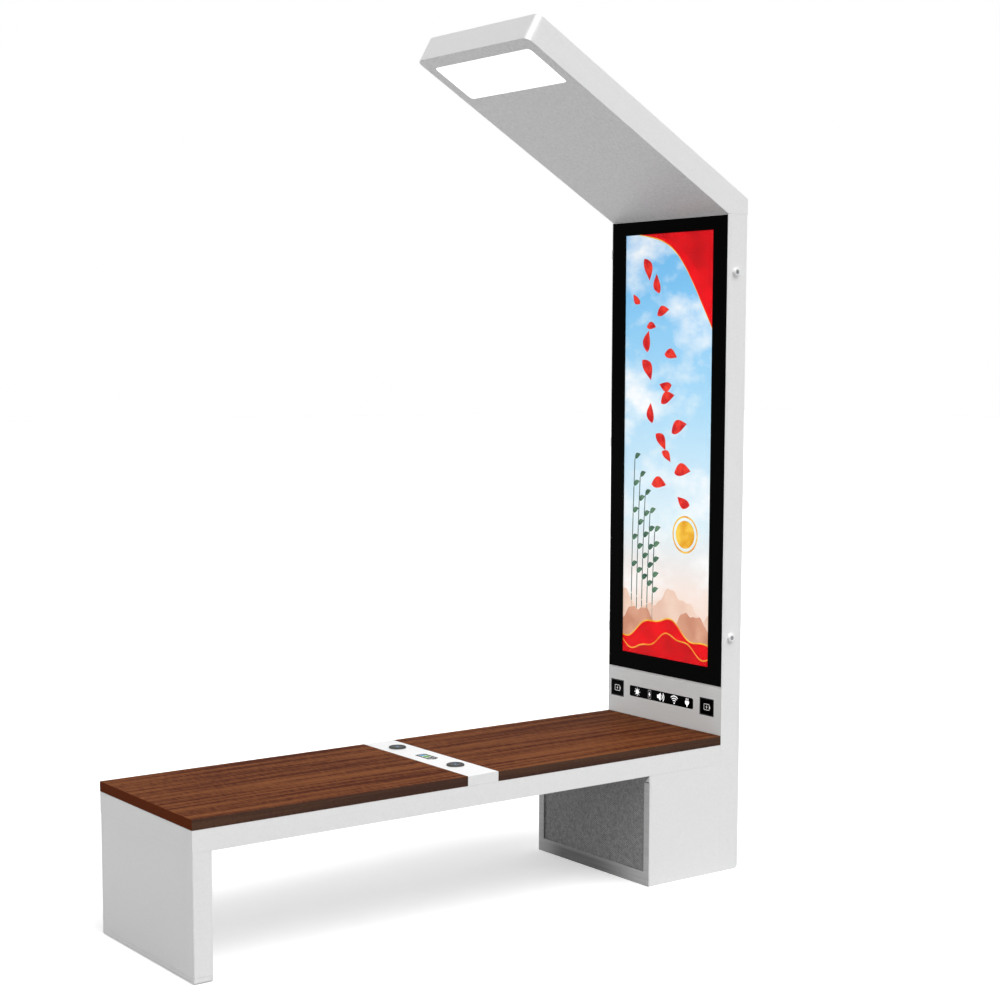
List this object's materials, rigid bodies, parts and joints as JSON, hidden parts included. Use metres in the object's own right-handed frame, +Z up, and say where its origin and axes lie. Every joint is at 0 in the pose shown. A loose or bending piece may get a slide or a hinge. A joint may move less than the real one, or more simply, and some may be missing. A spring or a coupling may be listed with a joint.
{
  "type": "solar charging bench",
  "caption": "Street bench with a timber seat, wireless charging pads, a back-lit picture case on a tall column, and a folded canopy with a solar panel and a downlight.",
  "frame": {"origin": "on the floor, under the middle of the bench", "axes": "+X along the seat towards the column, +Z up, -Y the side with the locks"},
  "size_m": [1.977, 0.5933, 2.6556],
  "materials": {
    "white_paint": "satin white powder coat on folded steel",
    "timber": "oiled red-brown hardwood, long straight grain",
    "brushed_plate": "brushed lengthwise",
    "zinc_steel": "zinc plated",
    "aluminium": "satin anodised",
    "grille_mesh": "dark grey perforated sheet",
    "black_plastic": "moulded, satin",
    "gloss_flap": "moulded, polished",
    "grey_plastic": "moulded",
    "pad_cover": "dark soft-touch moulding",
    "copper_winding": "enamelled wire in a potted cup",
    "black_glass": "back-printed black",
    "case_glass": "toughened, with a black printed border",
    "printed_film": "back-lit printed film",
    "clear_acrylic": "polished sheet",
    "opal_acrylic": "satin opal sheet",
    "circuit_board": "green solder mask",
    "lock_core": "dull plated",
    "solar_cells": "laminated cells behind tempered glass",
    "cable_jacket": "braided sleeve"
  },
  "bodies": {
    "root": {"left_leg": "white_paint", "left_foot": "white_paint", "seat_beam": "white_paint", "seat_slab_left": "timber", "seat_slab_right": "timber", "charging_console": "white_paint", "charging_pad_front": "pad_cover", "charging_pad_rear": "pad_cover", "coil_module_front": "copper_winding", "coil_module_rear": "copper_winding", "pedestal_shell": "white_paint", "pedestal_base": "zinc_steel", "grille_panel": "grille_mesh", "battery_tray": "zinc_steel", "battery": "black_plastic", "charge_controller": "aluminium", "speaker_bracket": "zinc_steel", "speaker": "black_plastic", "column_shell": "white_paint", "control_fascia": "brushed_plate", "touch_strip": "black_glass", "touch_board": "circuit_board", "usb_module_front": "black_plastic", "usb_module_rear": "black_plastic", "lamp_driver": "grey_plastic", "main_harness": "cable_jacket", "hinge_lower_fixed": "zinc_steel", "hinge_middle_fixed": "zinc_steel", "hinge_upper_fixed": "zinc_steel", "lock_upper_body": "white_paint", "lock_lower_body": "white_paint", "canopy_shell": "white_paint", "knee_plate_front": "zinc_steel", "knee_plate_rear": "zinc_steel", "lamp_lens": "opal_acrylic", "lamp_board": "circuit_board", "lamp_housing": "aluminium", "solar_frame": "aluminium", "solar_laminate": "solar_cells", "junction_box": "black_plastic"},
    "door": {"door_frame": "white_paint", "cover_glass": "case_glass", "picture_sheet": "printed_film", "light_box": "aluminium", "light_guide": "clear_acrylic", "led_bar_front": "aluminium", "led_bar_rear": "aluminium", "door_back": "zinc_steel", "strike_upper": "zinc_steel", "strike_lower": "zinc_steel", "hinge_lower_moving": "zinc_steel", "hinge_middle_moving": "zinc_steel", "hinge_upper_moving": "zinc_steel"},
    "lock_upper": {"lock_upper_plug": "lock_core", "lock_upper_cam": "zinc_steel"},
    "lock_lower": {"lock_lower_plug": "lock_core", "lock_lower_cam": "zinc_steel"},
    "flap_front": {"usb_flap_front": "gloss_flap"},
    "flap_rear": {"usb_flap_rear": "gloss_flap"}
  },
  "joints": [
    {"name": "door_hinge", "type": "hinge", "parent": "root", "child": "door", "pos_m": [0.9215, 0.2923, 1.3645], "axis": [0, 0, -1], "range_deg": [0, 110]},
    {"name": "lock_upper_turn", "type": "hinge", "parent": "root", "child": "lock_upper", "pos_m": [0.9395, -0.286, 1.94], "axis": [0, 1, 0], "range_deg": [0, 90]},
    {"name": "lock_lower_turn", "type": "hinge", "parent": "root", "child": "lock_lower", "pos_m": [0.9395, -0.286, 0.768], "axis": [0, 1, 0], "range_deg": [0, 90]},
    {"name": "flap_front_hinge", "type": "hinge", "parent": "root", "child": "flap_front", "pos_m": [0.9063, -0.2165, 0.5574], "axis": [0, 1, 0], "range_deg": [0, 90], "stiffness_Nm_per_rad": 0.01, "springref_deg": -17.19},
    {"name": "flap_rear_hinge", "type": "hinge", "parent": "root", "child": "flap_rear", "pos_m": [0.9063, 0.2385, 0.5574], "axis": [0, 1, 0], "range_deg": [0, 90], "stiffness_Nm_per_rad": 0.01, "springref_deg": -17.19}
  ]
}
